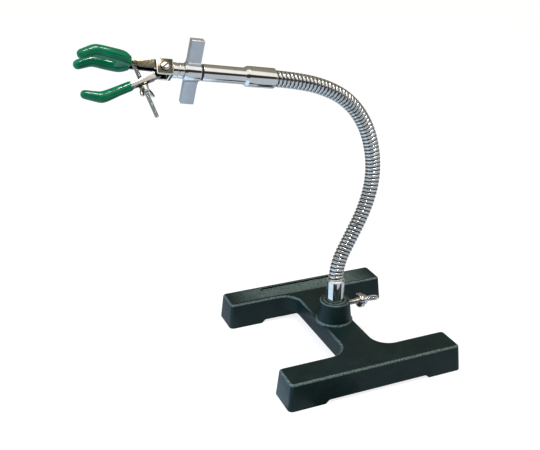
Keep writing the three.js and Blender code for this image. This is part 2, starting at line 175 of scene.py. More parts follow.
def mesh_object(name, points, faces):
    mesh = bpy.data.meshes.new(name)
    mesh.from_pydata([tuple(p) for p in points], [], faces)
    mesh.validate()
    obj = bpy.data.objects.new(name, mesh)
    bpy.context.scene.collection.objects.link(obj)
    return obj


def rounded(corners, steps=4, closed=True):
    """Points of an outline whose corners are (x, y) or (x, y, radius)."""
    points = []
    count = len(corners)
    for i, corner in enumerate(corners):
        here = Vector(corner[:2])
        radius = corner[2] if len(corner) > 2 else 0
        at_end = not closed and i in (0, count - 1)
        if radius == 0 or at_end:
            points.append(here)
            continue
        before = Vector(corners[i - 1][:2]) - here
        after = Vector(corners[(i + 1) % count][:2]) - here
        half = before.angle(after) / 2
        reach = min(radius / math.tan(half), before.length * 0.48, after.length * 0.48)
        start = here + before.normalized() * reach
        end = here + after.normalized() * reach
        for k in range(steps + 1):
            t = k / steps
            points.append(start.lerp(here, t).lerp(here.lerp(end, t), t))
    return points


def turned(name, corners, segments=64, ring=False, steps=4):
    """A solid of revolution about +Z. Corners are (radius, height) or (radius, height, rounding)."""
    profile = rounded(corners, steps, closed=ring)
    points, faces, rows = [], [], []
    for radius, height in profile:
        if radius < 1e-6:
            rows.append([len(points)])
            points.append((0, 0, height))
            continue
        rows.append(list(range(len(points), len(points) + segments)))
        for k in range(segments):
            angle = 2 * math.pi * k / segments
            points.append((radius * math.cos(angle), radius * math.sin(angle), height))
    pairs = list(zip(rows, rows[1:]))
    if ring:
        pairs.append((rows[-1], rows[0]))
    for low, high in pairs:
        for k in range(segments):
            after = k + 1
            quad = [low[k % len(low)], low[after % len(low)], high[after % len(high)], high[k % len(high)]]
            face = list(dict.fromkeys(quad))
            if len(face) > 2:
                faces.append(face)
    if not ring:
        for row, flip in ((rows[0], True), (rows[-1], False)):
            if len(row) > 1:
                faces.append(row[::-1] if flip else row)
    return outward(mesh_object(name, points, faces))


def plate(name, outline, z0, z1):
    """A flat outline extruded from z0 to z1."""
    count = len(outline)
    points = [(p[0], p[1], z) for z in (z0, z1) for p in outline]
    faces = [[k, (k + 1) % count, count + (k + 1) % count, count + k] for k in range(count)]
    faces += [list(range(count))[::-1], list(range(count, 2 * count))]
    return outward(mesh_object(name, points, faces))


def block(name, x0, x1, y0, y1, z0, z1):
    return plate(name, [(x0, y0), (x1, y0), (x1, y1), (x0, y1)], z0, z1)


def rod(name, radius, z0, z1, segments=48):
    return turned(name, [(radius, z0), (radius, z1)], segments)


def outward(obj):
    edit = bmesh.new()
    edit.from_mesh(obj.data)
    bmesh.ops.recalc_face_normals(edit, faces=edit.faces)
    edit.to_mesh(obj.data)
    edit.free()
    return obj


def tube(name, path, radii, sides=20):
    """A round bar with ball ends along a smooth curve, with a radius at each point of the path."""
    steps = 8
    centre = spline(path, steps)
    points, faces = [], []
    side = Vector((0, 0, 1))
    rings = []
    ball = 5
    for i, here in enumerate(centre):
        knot = min(i // steps, len(path) - 2)
        radius = radii[knot] + (radii[knot + 1] - radii[knot]) * (i / steps - knot)
        tangent = (centre[min(i + 1, len(centre) - 1)] - centre[max(i - 1, 0)]).normalized()
        side = (side - tangent * side.dot(tangent)).normalized()
        cross = tangent.cross(side)
        if i == 0:
            for k in range(1, ball):
                angle = math.pi / 2 * k / ball
                back = here - tangent * radius * math.cos(angle)
                rings.append((back, side, cross, radius * math.sin(angle)))
        rings.append((here, side.copy(), cross, radius))
        if i == len(centre) - 1:
            for k in range(ball - 1, 0, -1):
                angle = math.pi / 2 * k / ball
                ahead = here + tangent * radius * math.cos(angle)
                rings.append((ahead, side, cross, radius * math.sin(angle)))
    for here, across, up, size in rings:
        for k in range(sides):
            angle = 2 * math.pi * k / sides
            points.append(here + across * size * math.cos(angle) + up * size * math.sin(angle))
    for r in range(len(rings) - 1):
        for k in range(sides):
            a, b = r * sides + k, r * sides + (k + 1) % sides
            faces.append([a, b, b + sides, a + sides])
    last = (len(rings) - 1) * sides
    faces += [list(range(sides))[::-1], list(range(last, last + sides))]
    return outward(mesh_object(name, points, faces))


def spline(path, steps):
    """Catmull-Rom points through a path."""
    knots = [Vector(p) for p in path]
    knots = [knots[0] * 2 - knots[1], *knots, knots[-1] * 2 - knots[-2]]
    points = []
    for a, b, c, d in zip(knots, knots[1:], knots[2:], knots[3:]):
        for k in range(steps):
            t = k / steps
            points.append(0.5 * (2 * b + (c - a) * t + (2 * a - 5 * b + 4 * c - d) * t**2
                                 + (3 * b - a - 3 * c + d) * t**3))
    points.append(knots[-2])
    return points


def apply_modifiers(obj):
    bpy.context.view_layer.update()
    graph = bpy.context.evaluated_depsgraph_get()
    mesh = bpy.data.meshes.new_from_object(obj.evaluated_get(graph))
    obj.modifiers.clear()
    obj.data = mesh
    return obj


def combine(body, operation, *tools):
    """Boolean of the body with the tools, which are used up."""
    for tool in tools:
        step = body.modifiers.new("combine", "BOOLEAN")
        step.operation = operation
        step.solver = "EXACT"
        step.object = tool
    apply_modifiers(body)
    for tool in tools:
        bpy.data.objects.remove(tool)
    return body


def join(body, *others):
    return combine(body, "UNION", *others)


def cut(body, *tools):
    return combine(body, "DIFFERENCE", *tools)


def bevel(obj, width, segments=3, angle=32):
    step = obj.modifiers.new("bevel", "BEVEL")
    step.width = width
    step.segments = segments
    step.limit_method = "ANGLE"
    step.angle_limit = math.radians(angle)
    step.harden_normals = False
    return apply_modifiers(obj)


def mark_polish_and_light(obj, flats=0.0, rounds=1.0, shade_within=0):
    """Writes how bright each face's plating is, from 0 to 1, as an attribute that the metal reads: partly real
    polishing, partly painted light, a painted highlight where high and painted shade where low.

    Flats are the faces square to an axis and rounds are all the others. Faces nearer the middle plane than
    the last argument stay dark, as painted shade.
    """
    polish_and_highlight = obj.data.attributes.new("polish_and_highlight", "FLOAT", "FACE")
    values = []
    for face in obj.data.polygons:
        square = max(abs(part) for part in face.normal) > 0.995
        inside = abs(face.center.z) < shade_within
        # high values paint a highlight, low values paint shade, over partly real polishing
        values.append(0.0 if inside else flats if square else rounds)
    polish_and_highlight.data.foreach_set("value", values)
    return obj


def fuse(obj, voxel, rounds):
    """Melts a piece into one skin, as a dipped coating is."""
    remesh = obj.modifiers.new("melt", "REMESH")
    remesh.mode = "VOXEL"
    remesh.voxel_size = voxel
    relax = obj.modifiers.new("relax", "SMOOTH")
    relax.factor = 0.5
    relax.iterations = rounds
    return apply_modifiers(obj)


def place(obj, matrix, body, material, slot, *nodes, sharp=35):
    """Puts a finished piece in the row frame, on its body, with its material."""
    obj.data.transform(matrix)
    obj.data.materials.clear()
    obj.data.materials.append(material)
    obj.data.shade_smooth()
    obj.data.set_sharp_from_angle(angle=math.radians(sharp))
    if body:
        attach(obj, body)
    if nodes:
        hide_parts(*nodes)
    return obj


# ---- materials -----------------------------------------------------------------------------------


class Recipe:
    """A node material that is built step by step. Texture scales are in features a millimetre."""

    def __init__(self, name):
        self.material = bpy.data.materials.new(name)
        self.material.use_nodes = True
        self.tree = self.material.node_tree
        self.shader = self.tree.nodes["Principled BSDF"]
        self.where = self.add("ShaderNodeTexCoord").outputs["Object"]
        self.height = None

    def add(self, kind, **values):
        node = self.tree.nodes.new(kind)
        for key, value in values.items():
            setattr(node, key, value)
        return node

    def link(self, source, target):
        self.tree.links.new(source, target)

    def set(self, **values):
        for key, value in values.items():
            self.shader.inputs[key.replace("_", " ")].default_value = value

    def noise(self, per_mm, detail=3, roughness=0.55, stretch=None):
        """A noise value; stretch is a scale along x, y and z."""
        where = self.where
        if stretch:
            mapping = self.add("ShaderNodeMapping")
            mapping.inputs["Scale"].default_value = stretch
            self.link(where, mapping.inputs["Vector"])
            where = mapping.outputs["Vector"]
        node = self.add("ShaderNodeTexNoise")
        node.inputs["Scale"].default_value = per_mm / MM
        node.inputs["Detail"].default_value = detail
        node.inputs["Roughness"].default_value = roughness
        self.link(where, node.inputs["Vector"])
        return node.outputs["Fac"]

    def cells(self, per_mm):
        node = self.add("ShaderNodeTexVoronoi")
        node.inputs["Scale"].default_value = per_mm / MM
        node.feature = "SMOOTH_F1"
        self.link(self.where, node.inputs["Vector"])
        return node.outputs["Distance"]

    def attribute(self, name):
        return self.add("ShaderNodeAttribute", attribute_name=name).outputs["Fac"]

    def math(self, operation, a, b=0.0, c=0.0):
        node = self.add("ShaderNodeMath", operation=operation)
        for socket, value in zip(node.inputs, (a, b, c)):
            if isinstance(value, (int, float)):
                socket.default_value = value
            else:
                self.link(value, socket)
        return node.outputs[0]

    def ramp(self, value, *stops):
        """A colour or grey that follows a value through (position, colour or grey) stops."""
        node = self.add("ShaderNodeValToRGB")
        elements = node.color_ramp.elements
        while len(elements) < len(stops):
            elements.new(0.5)
        for element, (position, colour) in zip(elements, stops):
            element.position = position
            grey = isinstance(colour, (int, float))
            element.color = (colour, colour, colour, 1) if grey else (*colour, 1)
        self.link(value, node.inputs["Fac"])
        return node.outputs["Color"]

    def blend(self, factor, a, b):
        node = self.add("ShaderNodeMix", data_type="RGBA")
        self.link(factor, node.inputs["Factor"])
        for socket, value in ((node.inputs[6], a), (node.inputs[7], b)):
            if isinstance(value, tuple):
                socket.default_value = (*value, 1)
            else:
                self.link(value, socket)
        return node.outputs[2]

    def bump(self, value, depth_mm, strength=1.0):
        node = self.add("ShaderNodeBump")
        node.inputs["Distance"].default_value = depth_mm * MM
        node.inputs["Strength"].default_value = strength
        self.link(value, node.inputs["Height"])
        if self.height:
            self.link(self.height, node.inputs["Normal"])
        self.height = node.outputs["Normal"]
        self.link(self.height, self.shader.inputs["Normal"])

    def base(self, value):
        self.link(value, self.shader.inputs["Base Color"])

    def rough(self, value):
        self.link(value, self.shader.inputs["Roughness"])


def enamel_material():
    """Green-black enamel on sand-cast iron, lighter along its upper edges, partly wear and partly a painted
    highlight, and near black on the panel's walls and in the bore as painted shade.
    """
    r = Recipe("base_enamel")
    body = r.ramp(r.noise(0.05), (0.35, (0.0035, 0.0115, 0.0115)), (0.65, (0.006, 0.018, 0.0165)))
    speckle = r.ramp(r.noise(1.1, 2), (0.52, (0, 0, 0)), (0.78, (0.016, 0.034, 0.030)))
    mixed = r.add("ShaderNodeMix", data_type="RGBA", blend_type="ADD")
    mixed.inputs["Factor"].default_value = 0.5
    r.link(body, mixed.inputs[6])
    r.link(speckle, mixed.inputs[7])
    # upper edges and the hub's foot bead: partly wear, partly a painted highlight
    wear_and_highlight = r.attribute("wear_and_highlight")
    worn_and_lit = r.math("MULTIPLY", wear_and_highlight, r.ramp(r.noise(0.7, 4), (0.38, 0.15), (0.62, 0.75)))
    rubbed_and_lit = r.blend(worn_and_lit, mixed.outputs[2], (0.20, 0.26, 0.23))
    # painted shade: the panel's walls and the bore go near black
    painted_recess_shade = r.attribute("painted_recess_shade")
    r.base(r.blend(painted_recess_shade, rubbed_and_lit, (0.0008, 0.001, 0.0012)))
    sheen = r.ramp(r.noise(0.5), (0.3, 0.33), (0.7, 0.46))
    r.rough(r.math("ADD", sheen, r.math("MULTIPLY", painted_recess_shade, 0.5)))
    r.bump(r.cells(0.5), 0.16, 0.3)
    r.bump(r.noise(0.12), 0.5, 0.35)
    r.set(Specular_IOR_Level=0.22)
    return r.material


def metal_material(name, colour, dark, roughness, bump_mm, stretch=None, polish_and_highlight=None):
    """Metal whose colour drifts a little, with a fine ripple.

    With the last argument, a bright colour, the faces that the attribute marks take that colour, partly real
    polishing and partly a painted highlight, and the others are spotted and darker, the darkness being painted
    shade.
    """
    r = Recipe(name)
    plating = r.ramp(r.noise(0.09), (0.3, dark), (0.7, colour))
    if polish_and_highlight:
        spots = r.ramp(r.noise(1.3, 3), (0.48, dark), (0.62, colour))
        # painted light: marked faces bright as a painted highlight, the rest darker as painted shade
        plating = r.blend(r.attribute("polish_and_highlight"), spots, polish_and_highlight)
    r.base(plating)
    low, high = roughness
    r.rough(r.ramp(r.noise(1.2, 4, stretch=stretch), (0.3, low), (0.75, high)))
    r.bump(r.noise(0.6, 4, stretch=stretch), bump_mm, 0.5)
    r.set(Metallic=1.0)
    return r.material


def wire_material():
    """Chromed wire, darker and rougher in the grooves between the turns, where the dark is painted shade."""
    r = Recipe("gooseneck_wire")
    groove = r.attribute("groove")
    bare_wire = r.ramp(r.noise(0.3), (0.3, (0.60, 0.61, 0.61)), (0.7, (0.78, 0.78, 0.76)))
    # painted shade: the grooves, and most of the narrow wedge wire, go near black
    r.base(r.blend(groove, bare_wire, (0.006, 0.007, 0.009)))
    r.rough(r.math("ADD", r.ramp(r.noise(1.5, 3), (0.3, 0.10), (0.8, 0.24)), r.math("MULTIPLY", groove, 0.4)))
    r.bump(r.noise(1.1), 0.05, 0.4)
    r.set(Metallic=1.0)
    return r.material


def vinyl_material():
    """Glossy dipped vinyl, in greens that drift slowly over the coat."""
    r = Recipe("grip_vinyl")
    r.base(r.ramp(r.noise(0.08, 2), (0.3, (0.0, 0.12, 0.046)), (0.7, (0.0, 0.20, 0.084))))
    r.rough(r.ramp(r.noise(0.7), (0.3, 0.06), (0.75, 0.13)))
    r.bump(r.noise(0.16, 2), 0.4, 0.3)
    r.set(Specular_IOR_Level=0.3, Coat_Weight=0.05, Coat_Roughness=0.04, Subsurface_Weight=0.04)
    r.shader.inputs["Subsurface Radius"].default_value = (0.0004, 0.001, 0.0006)
    return r.material


def rubber_material():
    r = Recipe("gasket_rubber")
    r.base(r.ramp(r.noise(0.5), (0.3, (0.008, 0.009, 0.011)), (0.7, (0.018, 0.019, 0.021))))
    r.rough(r.ramp(r.noise(1.5), (0.3, 0.55), (0.7, 0.75)))
    r.bump(r.noise(2.0), 0.08, 0.5)
    return r.material


BOUNCE = (0.54, 0.61, 0.69)  # what the floor and the room below the horizon send to everything but the camera


def backdrop_material():
    """White paper to the camera with a trace of shadow, and blue-grey light to everything else."""
    r = Recipe("pale_backdrop")
    tree = r.tree
    tree.nodes.remove(r.shader)
    paper = r.add("ShaderNodeBsdfDiffuse")
    paper.inputs["Color"].default_value = (0.3, 0.3, 0.3, 1)
    glow = r.add("ShaderNodeEmission")
    glow.inputs["Color"].default_value = (0.82, 0.82, 0.82, 1)
    seen = r.add("ShaderNodeAddShader")
    r.link(paper.outputs[0], seen.inputs[0])
    r.link(glow.outputs[0], seen.inputs[1])
    bounce = r.add("ShaderNodeEmission")
    bounce.inputs["Color"].default_value = (*BOUNCE, 1)
    mix = r.add("ShaderNodeMixShader")
    r.link(r.add("ShaderNodeLightPath").outputs["Is Camera Ray"], mix.inputs["Fac"])
    r.link(bounce.outputs[0], mix.inputs[1])
    r.link(seen.outputs[0], mix.inputs[2])
    r.link(mix.outputs[0], tree.nodes["Material Output"].inputs["Surface"])
    return r.material


enamel = enamel_material()
chrome = metal_material("chrome", (0.82, 0.81, 0.79), (0.72, 0.71, 0.70), (0.03, 0.10), 0.02)
satin = metal_material("satin_steel", (0.66, 0.69, 0.72), (0.58, 0.61, 0.64), (0.42, 0.58), 0.05, (1, 1, 6))
nickel = metal_material("nickel_plate", (0.17, 0.15, 0.105), (0.07, 0.06, 0.04), (0.10, 0.24), 0.05,
                        polish_and_highlight=(0.92, 0.90, 0.86))
wire = wire_material()
vinyl = vinyl_material()
rubber = rubber_material()

# ---- base ----------------------------------------------------------------------------------------


def base_outline(inset, steps=10):
    """The H outline moved in by `inset`: outer corners shrink and inner fillets grow with it."""
    length = BAR_LENGTH / 2 - inset
    outer = BAR_SPACING / 2 + BAR_WIDTH / 2 - inset
    inner = BAR_SPACING / 2 - BAR_WIDTH / 2 + inset
    web = CROSSBAR_WIDTH / 2 - inset
    corner = CORNER_RADIUS - inset / 2
    fillet = FILLET_RADIUS + inset
    quarter = [
        (length - corner, outer - corner, corner, 0, 90),
        (-length + corner, outer - corner, corner, 90, 90),
        (-length + corner, inner + corner, corner, 180, 90),
        (-web - fillet, inner - fillet, fillet, 90, -90),
        (-web - fillet, -inner + fillet, fillet, 0, -90),
        (-length + corner, -inner - corner, corner, 90, 90),
        (-length + corner, -outer + corner, corner, 180, 90),
        (length - corner, -outer + corner, corner, 270, 90),
        (length - corner, -inner - corner, corner, 0, 90),
        (web + fillet, -inner + fillet, fillet, 270, -90),
        (web + fillet, inner - fillet, fillet, 180, -90),
        (length - corner, inner + corner, corner, 270, 90),
    ]
    points = []
    for x, y, radius, start, sweep in quarter:
        for k in range(steps + 1):
            angle = math.radians(start + sweep * k / steps)
            points.append((x + radius * math.cos(angle), y + radius * math.sin(angle)))
    return points


def loft(name, levels):
    """Joins same-sized horizontal outlines, each (points, z), into one closed body."""
    count = len(levels[0][0])
    points = [(x, y, z) for outline, z in levels for x, y in outline]
    faces = []
    for level in range(len(levels) - 1):
        for k in range(count):
            a, b = level * count + k, level * count + (k + 1) % count
            faces.append([a, b, b + count, a + count])
    top = (len(levels) - 1) * count
    faces += [list(range(count))[::-1], list(range(top, top + count))]
    return outward(mesh_object(name, points, faces))


def base_levels():
    """From the bench up: a small lower edge, the drafted side and the rounded upper edge."""
    slope = DRAFT_INSET / BASE_HEIGHT
    low = 0.8
    levels = [
        (base_outline(low), 0),
        (base_outline(0.3 * low), 0.3 * low),
        (base_outline(slope * low), low),
    ]
    start = BASE_HEIGHT - EDGE_ROUND
    steps = 6
    for k in range(steps + 1):
        angle = math.pi / 2 * k / steps
        inset = slope * start + EDGE_ROUND * (1 - math.cos(angle)) * 0.8
        levels.append((base_outline(inset), start + EDGE_ROUND * math.sin(angle)))
    return levels


def mark_edges(obj):
    """Writes, as attributes that the enamel reads, where the upper edges wear and take a painted highlight,
    with a painted highlight on the hub's foot bead, and the walls of the panel and the bore, which take painted
    shade.
    """
    wear_and_highlight = obj.data.attributes.new("wear_and_highlight", "FLOAT", "POINT")
    values = []
    for vertex in obj.data.vertices:
        x, y, height = vertex.co
        away = math.hypot(x, y)
        rounded_off = 0.25 < vertex.normal.z < 0.97
        on_edge = BASE_HEIGHT - EDGE_ROUND - 0.2 < height < BASE_HEIGHT + 0.01
        bar_edge = on_edge and away > HUB_FOOT_RADIUS + 5
        # the whole foot bead takes a painted highlight
        bead = BASE_HEIGHT + 0.05 < height < BASE_HEIGHT + 1.4 and away < HUB_FOOT_RADIUS + 2
        rim = height > HUB_TOP - 1.6
        values.append(1.0 if bead or (rounded_off and (bar_edge or rim)) else 0.0)
    wear_and_highlight.data.foreach_set("value", values)
    # marks the panel's walls and the bore's wall for painted shade
    painted_recess_shade = obj.data.attributes.new("painted_recess_shade", "FLOAT", "FACE")
    walls = []
    for face in obj.data.polygons:
        x, y, height = face.center
        in_panel = abs(x) < PANEL_LENGTH / 2 + 0.1 and abs(y - BAR_SPACING / 2) < PANEL_WIDTH / 2 + 0.1
        upright = abs(face.normal.z) < 0.5 and BASE_HEIGHT - PANEL_DEPTH < height < BASE_HEIGHT
        in_bore = math.hypot(x, y) < BORE_RADIUS + 0.2 and height < HUB_TOP - 0.3
        walls.append(1.0 if in_bore or (in_panel and upright) else 0.0)
    painted_recess_shade.data.foreach_set("value", walls)
    return obj


def base_casting():
    body = loft("base_casting_shell", base_levels())
    boss = turned("boss", [
        (0, BASE_HEIGHT - 3), (HUB_FOOT_RADIUS + 1.6, BASE_HEIGHT - 3),
        (HUB_FOOT_RADIUS + 1.6, BASE_HEIGHT + 0.1),
        (HUB_FOOT_RADIUS + 1, BASE_HEIGHT + 1.1, 0.5), (HUB_FOOT_RADIUS, BASE_HEIGHT + 2.4, 1),
        (HUB_TOP_RADIUS, HUB_TOP, 1.8), (0, HUB_TOP),
    ], 96, steps=6)
    panel_y = BAR_SPACING / 2
    half = PANEL_LENGTH / 2
    wide = PANEL_WIDTH / 2
    panel = plate("panel", rounded([
        (-half, panel_y - wide, 9), (half, panel_y - wide, 9),
        (half, panel_y + wide, 9), (-half, panel_y + wide, 9),
    ], 10), BASE_HEIGHT - PANEL_DEPTH, BASE_HEIGHT + 2)
    bore = rod("bore", BORE_RADIUS, HUB_TOP - 3, HUB_TOP + 2, 64)
    screw_hole = rod("screw_hole", 3.4, 10, 30)
    screw_hole.data.transform(Matrix.Translation((0, 0, SCREW_HEIGHT)) @ turn(90, "Y"))
    bay = BAR_SPACING / 2 - BAR_WIDTH / 2
    under = block("under", -60, 60, -bay, bay, -1, CROSSBAR_CLEARANCE)
    relief = plate("relief", rounded([
        (-FOOT_INNER - FOOT_SLOPE, -1), (FOOT_INNER + FOOT_SLOPE, -1),
        (FOOT_INNER, FOOT_RELIEF, 3), (-FOOT_INNER, FOOT_RELIEF, 3),
    ]), -BAR_SPACING, BAR_SPACING)
    relief.data.transform(turn(90, "X"))
    join(body, boss)
    cut(body, panel, bore, screw_hole, under, relief)
    mark_edges(body)
    place(body, HUB, "base", enamel, "base_enamel", "base_casting", sharp=30)


# ---- hub screw and ferrule -----------------------------------------------------------------------


def thread(name, radius, depth, pitch, start, end, segments=24):
    """A threaded rod along +Z: one helical ridge, with plain ends."""
    per_turn = 8
    rows = int((end - start) / pitch * per_turn)
    points, faces = [], []
    for i in range(rows + 1):
        z = start + (end - start) * i / rows
        for k in range(segments):
            phase = (z / pitch - k / segments) % 1
            size = radius - depth * abs(2 * phase - 1)
            if i in (0, rows):
                size = radius - depth
            angle = 2 * math.pi * k / segments
            points.append((size * math.cos(angle), size * math.sin(angle), z))
    for i in range(rows):
        for k in range(segments):
            a, b = i * segments + k, i * segments + (k + 1) % segments
            faces.append([a, b, b + segments, a + segments])
    faces += [list(range(segments))[::-1], list(range(rows * segments, (rows + 1) * segments))]
    return outward(mesh_object(name, points, faces))


def thumb_screw():
    along_x = turn(90, "Y")
    shank = thread("screw_thread", 3, 0.4, 1, 8, SHOULDER - 1)
    shank.data.transform(along_x)
    place(shank, SCREW, "thumb_screw", chrome, "chrome")
    wide = COLLAR_RADIUS
    collar = turned("screw_collar", [
        (0, SHOULDER - 2), (3.8, SHOULDER - 2, 0.3), (3.8, SHOULDER), (wide - 1, SHOULDER, 0.4),
        (wide, SHOULDER + 1.1, 0.5), (wide, SHOULDER + 3, 0.5), (wide - 1, SHOULDER + 3.5, 0.3),
        (wide - 1, SHOULDER + 4.1, 0.3), (wide, SHOULDER + 4.6, 0.4), (wide - 0.4, SHOULDER + 5.4, 0.4),
        (wide - 2, SHOULDER + 6.4, 0.5), (wide - 2.4, SHOULDER + 9.4, 1.5),
        (3, SHOULDER + 12, 1), (0, SHOULDER + 12.2),
    ])
    collar.data.transform(along_x)
    spade = plate("screw_spade", rounded([
        (SHOULDER + 9, -3.4), (SHOULDER + 13, -4.6, 3), (SHOULDER + 18, -7.2, 4), (SHOULDER + 24.5, -5.6, 4),
        (SHOULDER + 24.5, 5.6, 4), (SHOULDER + 18, 7.2, 4), (SHOULDER + 13, 4.6, 3), (SHOULDER + 9, 3.4),
    ], 8), -SPADE_HALF, SPADE_HALF)
    bevel(spade, 0.8, 3, 40)
    join(collar, spade)
    place(collar, SCREW, "thumb_screw", chrome, "chrome", "base_thumb_screw")


def lower_ferrule():
    sleeve = turned("ferrule_lower", [
        (0, HUB_TOP - 2.6), (FERRULE_RADIUS - 0.3, HUB_TOP - 2.6), (FERRULE_RADIUS, HUB_TOP + 0.5, 0.5),
        (FERRULE_RADIUS, FERRULE_TOP - 1.6, 0.8), (NECK_RADIUS + 0.3, FERRULE_TOP, 0.6), (0, FERRULE_TOP),
    ], 96)
    place(sleeve, HUB, "post", chrome, "chrome", "lower_ferrule")


# ---- gooseneck -----------------------------------------------------------------------------------


def winding(phase):
    """(radius, painted groove shade) of the wound wires at a phase of 0 to 1 through one turn; the narrow wedge
    wire is almost all painted shade.
    """
    if phase < WIRE_SHARE:
        across = phase / WIRE_SHARE * 2 - 1
        rise = math.sqrt(1 - across**6)
        return NECK_RADIUS - GROOVE_DEPTH * (1 - rise), max(0.0, 1 - rise * 1.4)
    across = (phase - WIRE_SHARE) / (1 - WIRE_SHARE) * 2 - 1
    rise = math.sqrt(1 - across * across) * WEDGE_RISE
    return NECK_RADIUS - GROOVE_DEPTH * (1 - rise), 1 - rise * 0.4


def neck_points():
    """The gooseneck's joints, with its two ends."""
    bends = [Vector(joints[f"neck_bend_{i}"]["pos_m"]) for i in range(1, 10)]
    root = Vector((hub_x, 0, FERRULE_TOP * MM))
    return [root, *bends, neck_end]


def gooseneck():
    """One arc for each joint, from the middle of a link to the middle of the next."""
    corners = neck_points()
    middles = [(a + b) / 2 for a, b in zip(corners, corners[1:])]
    middles[0], middles[-1] = corners[0], corners[-1]
    travelled = 0.0
    for i in range(1, 10):
        start, corner, end = middles[i - 1], corners[i], middles[i]
        leave, arrive = (corner - start).normalized(), (end - corner).normalized()
        nodes = [f"gooseneck_link_{i + 1:02d}"] if i > 1 else ["gooseneck_link_01", "gooseneck_link_02"]
        length = neck_piece(i, start, leave, arrive, (corner - start).length, travelled, nodes)
        travelled += length


def neck_piece(i, start, leave, arrive, tangent, travelled, nodes):
    angle = leave.angle(arrive)
    side = 1 if leave.cross(arrive).y < 0 else -1
    normal = Vector((0, -1, 0)).cross(leave) * side  # towards the middle of the bend
    radius = tangent / math.tan(angle / 2) if angle > 1e-4 else None
    length = radius * angle if radius else tangent * 2
    rows = max(8, round(length / MM / NECK_PITCH * RIDGE_STEPS))
    points, faces, shade = [], [], []
    for row in range(rows + 1):
        part = row / rows
        if radius:
            turned_by = angle * part
            inward = normal * radius * (1 - math.cos(turned_by))
            centre = start + leave * radius * math.sin(turned_by) + inward
            direction = leave * math.cos(turned_by) + normal * math.sin(turned_by)
        else:
            centre, direction = start + leave * length * part, leave
        across = Y.cross(direction)
        distance = (travelled + length * part) / MM / NECK_PITCH
        for k in range(NECK_SIDES):
            size, groove = winding((distance - k / NECK_SIDES) % 1)
            turned_to = 2 * math.pi * k / NECK_SIDES
            out = across * math.cos(turned_to) + Y * math.sin(turned_to)
            points.append(centre + out * size * MM)
            shade.append(groove)
    for row in range(rows):
        for k in range(NECK_SIDES):
            a, b = row * NECK_SIDES + k, row * NECK_SIDES + (k + 1) % NECK_SIDES
            faces.append([a, b, b + NECK_SIDES, a + NECK_SIDES])
    last = rows * NECK_SIDES
    faces += [list(range(NECK_SIDES))[::-1], list(range(last, last + NECK_SIDES))]
    piece = mesh_object(f"gooseneck_winding_{i}", points, faces)
    # the painted groove shade, as an attribute that the wire reads
    attribute = piece.data.attributes.new("groove", "FLOAT", "POINT")
    attribute.data.foreach_set("value", shade)
    outward(piece)
    place(piece, Matrix.Identity(4), None, wire, "gooseneck_wire", *nodes, sharp=60)
    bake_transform(piece)
    return length


# ---- socket, tee nut and stem --------------------------------------------------------------------


def upper_ferrule():
    sleeve = turned("ferrule_upper", [
        (NECK_RADIUS + 0.4, 0.3), (FERRULE_RADIUS, 0.6, 0.5), (FERRULE_RADIUS, SLEEVE_LENGTH - 3, 0.6),
        (SOCKET_RADIUS + 0.3, SLEEVE_LENGTH, 0.6), (4, SLEEVE_LENGTH), (4, 0.3),
    ], 96, ring=True)
    place(sleeve, CLAMP, "neck_end", chrome, "chrome", "upper_ferrule")


def socket():
    tube_wall = turned("socket_sleeve", [
        (SOCKET_RADIUS, SLEEVE_LENGTH - 0.2), (SOCKET_RADIUS, SOCKET_END, 0.5),
        (SOCKET_BORE, SOCKET_END, 0.3), (SOCKET_BORE, SLEEVE_LENGTH - 0.2),
    ], 96, ring=True)
    place(tube_wall, CLAMP, "neck_end", chrome, "chrome", "socket_tube")
    ring = turned("gasket_ring", [
        (SOCKET_RADIUS - 0.7, SOCKET_END, 0.2), (SOCKET_RADIUS - 0.7, GASKET_END - 0.1, 0.2),
        (SOCKET_BORE, GASKET_END - 0.1), (SOCKET_BORE, SOCKET_END),
    ], 64, ring=True)
    place(ring, CLAMP, "neck_end", rubber, "gasket_rubber", "socket_gasket")


def tee_nut():
    collar = turned("tee_nut_collar", [
        (NUT_RADIUS - 1.4, GASKET_END, 0.3), (NUT_RADIUS, GASKET_END + 1.4, 0.5),
        (NUT_RADIUS, NUT_END - 2, 0.5), (NUT_RADIUS - 1.6, NUT_END, 0.4),
        (STEM_TAIL_RADIUS + 0.3, NUT_END), (STEM_TAIL_RADIUS + 0.3, GASKET_END),
    ], 96, ring=True)
    place(collar, CLAMP, "tee_nut", chrome, "chrome", "tee_collar")
    for side, node in ((1, "tee_arm_upper"), (-1, "tee_arm_lower")):
        half = TEE_THICKNESS / 2
        upper = [
            (NUT_RADIUS - 1.5, half + TEE_FLARE), (NUT_RADIUS + 0.4, half + TEE_FLARE, 0.4),
            (NUT_RADIUS + 1.8, half, 1.4), (TEE_LENGTH / 2, half, 1.2),
        ]
        lower = [(x, -y, *radius) for x, y, *radius in upper]
        arm = plate(node + "_bar", rounded(lower + upper[::-1]), -TEE_WIDTH / 2, TEE_WIDTH / 2)
        bevel(arm, 0.55, 3, 40)
        cut(arm, rod("seat", NUT_RADIUS + 0.05, -TEE_WIDTH, TEE_WIDTH, 96))
        if side < 0:
            arm.data.transform(turn(180, "Z"))
        place(arm, TEE, "tee_nut", satin, "satin_steel", node)


